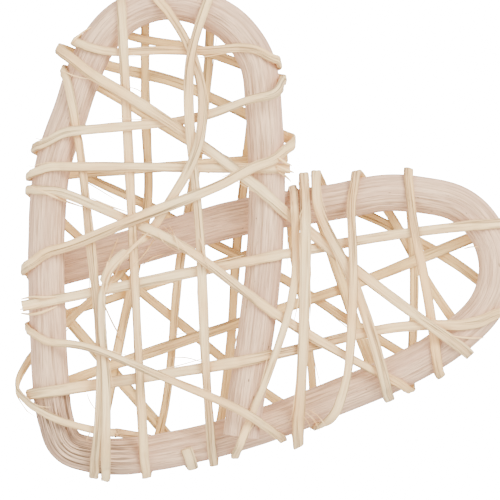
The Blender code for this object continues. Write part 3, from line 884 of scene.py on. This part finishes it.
def strip_finish():
    finish = Finish("rattan strip")
    fibres = finish.noise(finish.skin(STRIP_FIBRES), detail=3, roughness=0.6)
    splits = finish.noise(finish.skin(STRIP_SPLITS), detail=2)
    patches = finish.noise(finish.skin(STRIP_PATCHES), detail=2)
    split = finish.between(splits, 0.56, 0.66)
    colour = finish.coated(
        STRIP_WHITE,
        (finish.between(patches + finish.painted("tone") * 0.35, 0.25, 0.8), STRIP_CREAM),
        # Painted glow on the runs behind, standing in for light that comes through them
        (finish.painted("behind") * 0.7, STRIP_PAINTED_GLOW),
        (finish.between(fibres, 0.48, 0.64) * 0.52, STRIP_GRAIN_AND_SHADE),
        (split * 0.55, STRIP_GRAIN_AND_SHADE),
        # Painted shade: the strip's two rounded edges are darkened where they turn from the light
        (finish.painted("edge") * 0.44, STRIP_GRAIN_AND_SHADE),
    )
    finish.set(Base_Color=colour, Roughness=0.52 + 0.25 * fibres)
    finish.set(Normal=finish.bump((1 - fibres) - split * 1.3, STRIP_RELIEF))
    return finish.material


# %% A strip's route with its facing, closely spaced
STRIP_ROW = 0.0006
SHOWN_THICKNESS = 0.00115
# A strip nearer to the cane than the gap lies on it, and sinks in by a hair
HUG_GAP = 0.0002
HUG_FADE = 0.0012
HUG_SINK = 0.00005
# Its folds are hooks, rounded along the cane, that stand off it by a little slack
HOOK_ROUNDING = 0.003
HOOK_REACH = 0.007
HOOK_FADE = 0.006
HOOK_SLACK = 0.0011


def strip_route(name):
    """The strip's centreline and the way its flat side faces, every STRIP_ROW."""
    points, faces, sides, turns = [], [], [], []
    for p, first in zip(passes, first_node):
        if p.strip != name:
            continue
        line = np.column_stack([p.place, heights[first : first + len(p.nodes)]])
        face = np.tile([0.0, 0.0, float(p.side)], (len(line), 1))
        for k in (0, 1):
            if p.folds[k]:
                turn_at_fold(line, face, p.anchor[k])
        if points:
            turns.append(len(points) - 1)
            line, face = line[1:], face[1:]
        points.extend(line)
        faces.extend(face)
        sides.extend([float(p.side)] * len(line))
    return even_route(np.array(points), np.array(faces), np.array(sides), turns)


def turn_at_fold(line, face, anchor):
    """Close to a fold the flat side faces away from the cane."""
    rel = line - anchor["centre"]
    out = rel[:, :2] @ anchor["out"]
    near = lengths(rel[:, :2]) < SHOULDER_FACING * anchor["reach"]
    shoulder = near & (out > 0)
    flat = out / anchor["reach"] ** 2
    turned = np.column_stack([flat[:, None] * anchor["out"][None, :], rel[:, 2] / STRIP_RADIUS**2])
    turned /= np.maximum(lengths(turned), 1e-9)[:, None]
    face[shoulder] = turned[shoulder]


def even_route(points, faces, sides, turns):
    old = travelled(points)
    line = smooth(points, STRIP_ROW)
    at = np.linspace(0, old[-1], len(line))
    face = np.stack([np.interp(at, old, faces[:, i]) for i in range(3)], axis=1)
    side = np.interp(at, old, sides)
    if not turns:
        return *hug(line, face), side
    near = np.abs(at[:, None] - old[turns][None, :])
    line = rounded_folds(line, 1 - smoothstep((near.min(axis=1) - HOOK_REACH) / HOOK_FADE))
    line, face = hug(line, face)
    slack = HOOK_SLACK * (0.6 + 0.4 * np.cos(7.0 * near.argmin(axis=1) + len(turns)))
    stands_off = slack * (1 - smoothstep(near.min(axis=1) / HOOK_REACH))
    return line + from_cane(line)[1] * stands_off[:, None], face, side


def from_cane(line):
    """The nearest points of the cane's centreline, the way out from them, and how far."""
    rel = line[:, None, :] - cane[None, :, :]
    nearest = lengths(rel).argmin(axis=1)
    rel = line - cane[nearest]
    gap = lengths(rel)
    return cane[nearest], rel / gap[:, None], gap


def rounded_folds(line, share):
    """A strip turns round the cane in a hook, so its place along the cane is eased there."""
    reach = round(3 * HOOK_ROUNDING / STRIP_ROW)
    bell = np.exp(-0.5 * (np.arange(-reach, reach + 1) * STRIP_ROW / HOOK_ROUNDING) ** 2)
    bell /= bell.sum()
    padded = np.pad(line, ((reach, reach), (0, 0)), mode="edge")
    eased = np.stack([np.convolve(padded[:, i], bell, "valid") for i in range(3)], axis=1)
    centre, radial, _ = from_cane(eased)
    gap = from_cane(line)[2]
    eased = centre + radial * gap[:, None]
    return line + (eased - line) * share[:, None]


def hug(line, face):
    """Where a strip lies on the cane its flat side is turned to it and brought on to it."""
    _, radial, gap = from_cane(line)
    near = 1 - smoothstep((gap - STRIP_RADIUS - HUG_GAP) / HUG_FADE)
    target = CANE_RADIUS + SHOWN_THICKNESS / 2 - HUG_SINK
    line = line + radial * ((target - gap) * near)[:, None]
    return line, unit(face * (1 - near)[:, None] + radial * near[:, None])


# %% A strip's skin
STRIP_COLUMNS = 19
SPLIT_STRIP = "strip_left_upright"
SPLIT_FROM, SPLIT_TO = (143, 240), (104, 292)
SPLIT_SHARE = 0.6
SPLIT_REACH = 5
STRIP_ROLL = math.radians(9)
SQUARE_WIDE = 0.55
SQUARE_THICK = 0.7


def split_away(line, side):
    """1 where half of the curved run has split away and only a narrow strand goes on."""
    start, end = np.array(plan(SPLIT_FROM)), np.array(plan(SPLIT_TO))
    chord = end - start
    share = ((line[:, :2] - start) @ chord) / (chord @ chord)
    gap = lengths(line[:, :2] - start - np.clip(share, 0, 1)[:, None] * chord)
    inside = smoothstep(share / 0.2 + 0.5) * smoothstep((1 - share) / 0.2 + 0.5)
    return inside * (gap < SPLIT_REACH * UNIT) * (side > 0)


def strip_skin(name, width, seed):
    line, face, side = strip_route(name)
    run = travelled(line)
    along = directions(line)
    across = unit(np.cross(along, face))
    normal = np.cross(across, along)
    roll = STRIP_ROLL * wander(run, 0.017, seed)
    c, s = np.cos(roll)[:, None], np.sin(roll)[:, None]
    across, normal = c * across + s * normal, c * normal - s * across
    angles = angles_round(STRIP_COLUMNS)
    wide = np.sign(np.cos(angles)) * np.abs(np.cos(angles)) ** SQUARE_WIDE
    thick = np.sign(np.sin(angles)) * np.abs(np.sin(angles)) ** SQUARE_THICK
    swell = 1.04 + 0.09 * wander(run, 0.014, seed + 1)
    half = width / 2 * (swell + 0.035 * wander(run, 0.004, seed + 2))
    if name == SPLIT_STRIP:
        half *= 1 - SPLIT_SHARE * split_away(line, side)
    depth = SHOWN_THICKNESS / 2 * (1 + 0.12 * wander(run, 0.009, seed + 3))
    furrow = wander_round(run, 0.008, seed + 10, STRIP_COLUMNS)
    lift = depth[:, None] * thick[None, :] * (1 + 0.22 * furrow)
    spread = half[:, None] * wide[None, :] * (1 + 0.02 * furrow)
    rings = rings_along(line, across, normal, spread, lift)
    girth = 2 * (width + SHOWN_THICKNESS)
    around = np.tile(np.linspace(0, girth, STRIP_COLUMNS), (len(line), 1)) + seed * 0.013
    piece = rolled_grid(name.replace("strip_", "winding_"), rings, around, run + seed * 0.07)
    tone = 0.6 * wander(run, 0.05, seed + 4) + 0.4 * wander(run, 0.012, seed + 5)
    painted(piece, "tone", np.repeat(tone, STRIP_COLUMNS))
    # Where the painted glow goes: 1 on the runs behind, 0 in front
    painted(piece, "behind", np.repeat((1 - side) / 2, STRIP_COLUMNS))
    # Where the painted shade goes: the strip's two rounded edges
    painted(piece, "edge", np.tile(np.abs(np.cos(angles)) ** 4, (len(line), 1)))
    return closed(piece, 60)


strip_material = strip_finish()
windings = {}
for number, (name, (width, *_)) in enumerate(STRIPS.items()):
    windings[name] = strip_skin(name, width, 1000 * (number + 1))
    windings[name].data.materials.append(strip_material)
    print(name, "faces:", len(windings[name].data.polygons))

# %% [markdown]
# ## Loose fibres
# Splitting rattan by hand leaves hairs and slivers that stand off the strips. Each is a
# curve with a round bevel that tapers to nothing. A plumb line dropped on the finished
# pieces says how high it has to lie.

# %% Where the fibres run in the drawing, with their thickness in metres
FIBRES = [
    (0.00035, (62, 71), (76, 77), (90, 80)),
    (0.00030, (130, 88), (138, 90), (146, 96)),
    (0.00060, (33, 187), (60, 199), (86, 208)),
    (0.00045, (92, 198), (110, 206), (128, 212)),
    (0.00030, (142, 266), (152, 258), (165, 254)),
    (0.00040, (200, 238), (206, 256), (209, 268)),
    (0.00035, (209, 275), (218, 283), (228, 291)),
    (0.00035, (163, 226), (178, 240), (193, 259)),
    (0.00030, (168, 224), (176, 238), (180, 256)),
    (0.00025, (158, 232), (166, 244), (178, 252)),
    (0.00030, (88, 392), (91, 400), (97, 409)),
    (0.00030, (87, 440), (89, 435), (93, 429)),
    (0.00030, (170, 358), (188, 358), (206, 363)),
    (0.00035, (305, 412), (314, 420), (320, 431)),
    (0.00030, (309, 410), (318, 416), (326, 426)),
    (0.00025, (303, 416), (309, 424), (311, 433)),
    (0.00040, (464, 249), (471, 247), (479, 247)),
    (0.00030, (460, 361), (464, 363), (467, 367)),
    (0.00050, (452, 336), (468, 338), (486, 338)),
    (0.00070, (278, 158), (285, 163), (292, 166)),
    (0.00080, (276, 166), (285, 170), (294, 173)),
    (0.00060, (278, 172), (286, 177), (291, 182)),
    (0.00070, (22, 299), (32, 297), (44, 297), (58, 296)),
    (0.00080, (22, 313), (32, 314), (46, 311), (58, 306)),
    (0.00060, (21, 309), (30, 308), (42, 305)),
    (0.00060, (146, 236), (128, 254), (112, 272), (105, 296)),
    (0.00050, (118, 238), (109, 262), (103, 290)),
    (0.00050, (150, 232), (136, 244), (122, 262), (108, 290)),
    (0.00040, (156, 236), (146, 252), (130, 270)),
    (0.00060, (92, 28), (82, 34), (72, 44)),
    (0.00045, (104, 300), (116, 330), (124, 344)),
]


HAIR_LIFT = 0.0004
HAIR_LIFTS_MORE = 0.0003
STRAY_HAIRS = 90
STRAY_SEED = 77
DROPPED_FROM = 0.05


def surface(pieces):
    """A tree of all the pieces' faces, for plumb lines."""
    points, faces = [], []
    for piece in pieces:
        base = len(points)
        points.extend(v.co.copy() for v in piece.data.vertices)
        faces.extend([base + i for i in face.vertices] for face in piece.data.polygons)
    return BVHTree.FromPolygons(points, faces)


def top_at(tree, x, y):
    hit = tree.ray_cast(Vector((x, y, DROPPED_FROM)), Vector((0, 0, -1)))[0]
    return hit.z if hit else None


def laid_fibre(tree, points, thickness, lift):
    """A fibre's points on top of what lies there, arched up by lift in the middle."""
    line = smooth([plan(p) for p in points], STRIP_ROW)
    tops = [top_at(tree, x, y) for x, y in line]
    known = [i for i, z in enumerate(tops) if z is not None]
    if not known:
        return None
    z = np.interp(np.arange(len(tops)), known, [tops[i] for i in known])
    for _ in range(12):
        eased = np.convolve(np.pad(z, 1, mode="edge"), (0.25, 0.5, 0.25), "valid")
        z = np.maximum(eased, z)
    rise = lift * np.sin(np.linspace(0, math.pi, len(z)))
    return np.column_stack([line, z + thickness * 0.4 + rise])


# %% Grow the fibres
def curve_piece(name, runs, material):
    """Many tapering round fibres in one piece. A run is (points, thickness)."""
    data = bpy.data.curves.new(name, "CURVE")
    data.dimensions = "3D"
    data.bevel_depth = 1.0
    data.bevel_resolution = 1
    data.use_fill_caps = True
    for points, thickness in runs:
        spline = data.splines.new("POLY")
        spline.points.add(len(points) - 1)
        taper = np.sin(np.linspace(0.25, math.pi - 0.12, len(points))) ** 0.6
        for spot, place, share in zip(spline.points, points, taper):
            spot.co = (*place, 1)
            spot.radius = thickness / 2 * share
    piece = bpy.data.objects.new(name, data)
    bpy.context.scene.collection.objects.link(piece)
    bpy.ops.object.select_all(action="DESELECT")
    piece.select_set(True)
    bpy.context.view_layer.objects.active = piece
    bpy.ops.object.convert(target="MESH")
    piece = bpy.context.object
    bpy.ops.object.shade_smooth()
    piece.data.materials.clear()
    piece.data.materials.append(material)
    return piece


def stray_fibres(count, seed):
    """Hairs that stand off the strips' edges here and there."""
    rng = np.random.default_rng(seed)
    runs = []
    names = list(STRIPS)
    for _ in range(count):
        name = names[rng.integers(len(names))]
        width = STRIPS[name][0]
        line, face, _ = strip_route(name)
        length = int(rng.uniform(8, 26))
        i = int(rng.integers(5, len(line) - length - 5))
        part = line[i : i + length]
        along = directions(part)
        across = np.cross(along, face[i : i + length])
        side = rng.choice([-1.0, 1.0])
        t = np.linspace(0, 1, length)
        out = width * 0.46 + rng.uniform(0.0002, 0.0016) * t ** 1.6
        up = SHOWN_THICKNESS * 0.35 + rng.uniform(-0.0003, 0.0009) * t ** 1.5
        points = part + across * (side * out)[:, None] + face[i : i + length] * up[:, None]
        if rng.uniform() < 0.5:
            points = points[::-1]
        runs.append((points, rng.uniform(0.00012, 0.0003)))
    return runs


def fibre_finish():
    finish = Finish("loose fibre")
    place = finish.node("ShaderNodeTexCoord", {}, {}, "Object")
    shade = finish.noise(place, scale=240, detail=2)
    finish.set(Base_Color=finish.mix(shade, STRIP_WHITE, STRIP_CREAM), Roughness=0.6 + 0.2 * shade)
    return finish.material


tree = surface([cane_piece, *windings.values()])
runs = []
for number, (thickness, *points) in enumerate(FIBRES):
    laid = laid_fibre(tree, points, thickness, HAIR_LIFT + HAIR_LIFTS_MORE * (number % 3))
    if laid is not None:
        runs.append((laid, thickness))
runs += stray_fibres(STRAY_HAIRS, STRAY_SEED)
fibres = curve_piece("loose_fibres", runs, fibre_finish())
print("fibres:", len(runs))

# %% [markdown]
# ## Put the heart down
# Every piece was made in the heart's own frame. One turn and one shift lay it on the
# floor, where the CAD model lies.

# %% Move, ride and replace
pieces = [cane_piece, *windings.values(), fibres]
for piece in pieces:
    piece.data.transform(RESTING)
    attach(piece, "root")
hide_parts("cane_frame")
for name, piece in windings.items():
    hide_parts(name)

# %% [markdown]
# ## Floor, light and camera
# The picture is a plain view from straight above on white, so the light is broad and
# soft. The floor glows white, but only the camera sees that: it would light the heart
# from below. A long lens from far away keeps the drawing's shapes.

# %% The floor
FLOOR_SIZE = 6
FLOOR_GLOW = 20.0


def floor_finish():
    finish = Finish("white ground")
    place = finish.node("ShaderNodeTexCoord", {}, {}, "Object")
    shade = finish.noise(place, scale=3, detail=2)
    finish.set(Base_Color=finish.mix(shade, (0.93, 0.93, 0.93), (0.95, 0.95, 0.95)), Roughness=0.9)
    finish.set(Emission_Color=(1, 1, 1, 1), Emission_Strength=FLOOR_GLOW)
    return finish.material


bpy.ops.mesh.primitive_plane_add(size=FLOOR_SIZE)
floor = bpy.context.object
floor.name = "floor"
floor.data.materials.append(floor_finish())
floor.visible_diffuse = floor.visible_glossy = False

# %% Light
SKY = 1.9


def area_light(name, place, size, power, colour):
    """A square lamp that faces the middle of the heart, in metres and watts."""
    bpy.ops.object.light_add(type="AREA", location=place)
    light = bpy.context.object
    light.name = name
    light.data.size = size
    light.data.energy = power
    light.data.color = colour
    light.rotation_euler = (-Vector(place)).to_track_quat("-Z", "Y").to_euler()


area_light("window", (0.10, 0.75, 0.70), 0.45, 15.0, (1.0, 0.99, 0.97))
area_light("fill", (-0.5, -0.5, 0.8), 0.9, 5.0, (1.0, 0.98, 0.96))
world = bpy.data.worlds.new("studio")
bpy.context.scene.world = world
world.use_nodes = True
background = world.node_tree.nodes["Background"].inputs
background["Color"].default_value = (1, 1, 1, 1)
background["Strength"].default_value = SKY

# %% Camera
CAMERA_DISTANCE = 2.0
PICTURE = 500
SENSOR = 36
bpy.ops.object.camera_add()
camera = bpy.context.object
camera.data.sensor_width = SENSOR
camera.data.lens = SENSOR * CAMERA_DISTANCE / (PICTURE * UNIT)
camera.data.clip_end = 20
looking_down = Matrix.Rotation(AXIS_TURN, 4, "Z") @ Matrix.Translation((0, 0, CAMERA_DISTANCE))
camera.matrix_world = RESTING @ looking_down
bpy.context.scene.camera = camera

# %% Finish
bpy.context.view_layer.update()
